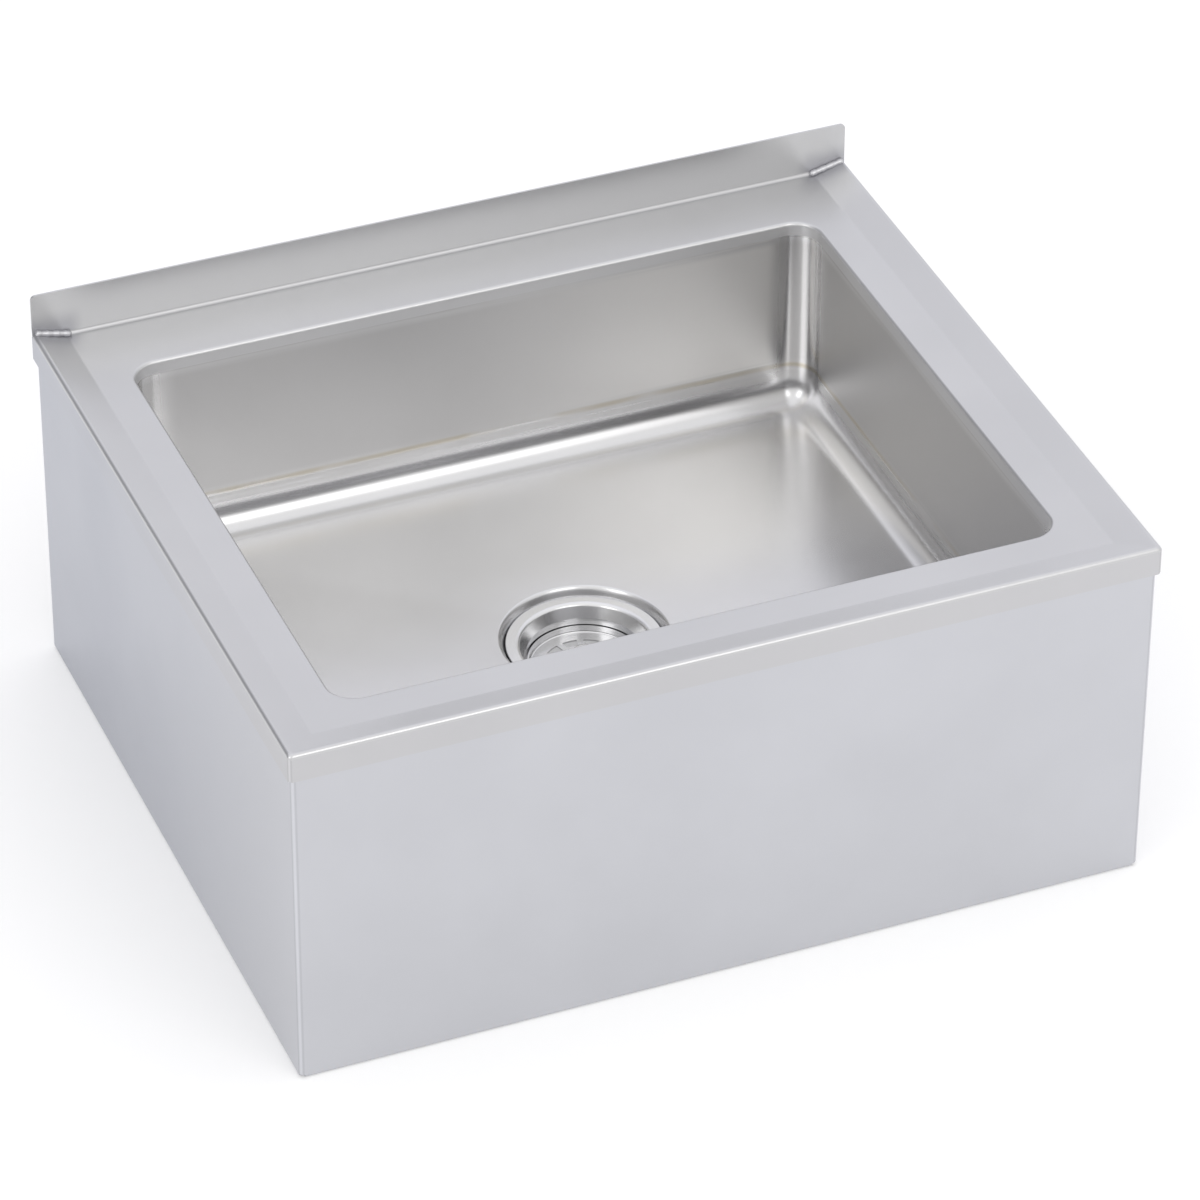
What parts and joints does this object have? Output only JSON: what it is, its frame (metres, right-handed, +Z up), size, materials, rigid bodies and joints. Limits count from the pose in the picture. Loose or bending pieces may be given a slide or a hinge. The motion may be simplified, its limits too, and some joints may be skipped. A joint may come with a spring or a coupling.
{
  "type": "mop service sink",
  "caption": "Low floor-standing steel sink with a rectangular bowl, raised deck edge, rear splash, skirt to the floor and a drain with a lift-out strainer.",
  "frame": {"origin": "middle of the overall outline, on the floor that the skirt stands on", "axes": "+X to the right seen from the front, +Y back to the wall behind the splash, +Z up; the drain's axis is parallel to Z, at X = 0, 2.85 mm in front of the origin"},
  "size_m": [0.635, 0.5394, 0.3085],
  "materials": {
    "deck_steel": "fine satin grain with weld blend marks",
    "bowl_steel": "satin, polished over the coves",
    "skirt_steel": "fine satin grain",
    "drain_steel": "bright satin",
    "nut_metal": "as cast",
    "black_rubber": "matt",
    "pad_rubber": "matt",
    "fibre": "matt"
  },
  "bodies": {
    "sink": {"deck": "deck_steel", "bowl_walls": "bowl_steel", "bowl_pan": "bowl_steel", "skirt": "skirt_steel", "rear_tie": "skirt_steel", "sound_pad_left": "pad_rubber", "sound_pad_right": "pad_rubber", "drain_body": "drain_steel", "flange_gasket": "black_rubber", "sealing_washer": "black_rubber", "friction_ring": "fibre", "locknut": "nut_metal"},
    "strainer": {"strainer_cup": "drain_steel", "strainer_post": "drain_steel", "strainer_knob": "drain_steel"}
  },
  "joints": [
    {"name": "strainer_lift", "type": "slide", "parent": "sink", "child": "strainer", "axis": [0, 0, 1], "range_m": [0, 0.2]}
  ]
}
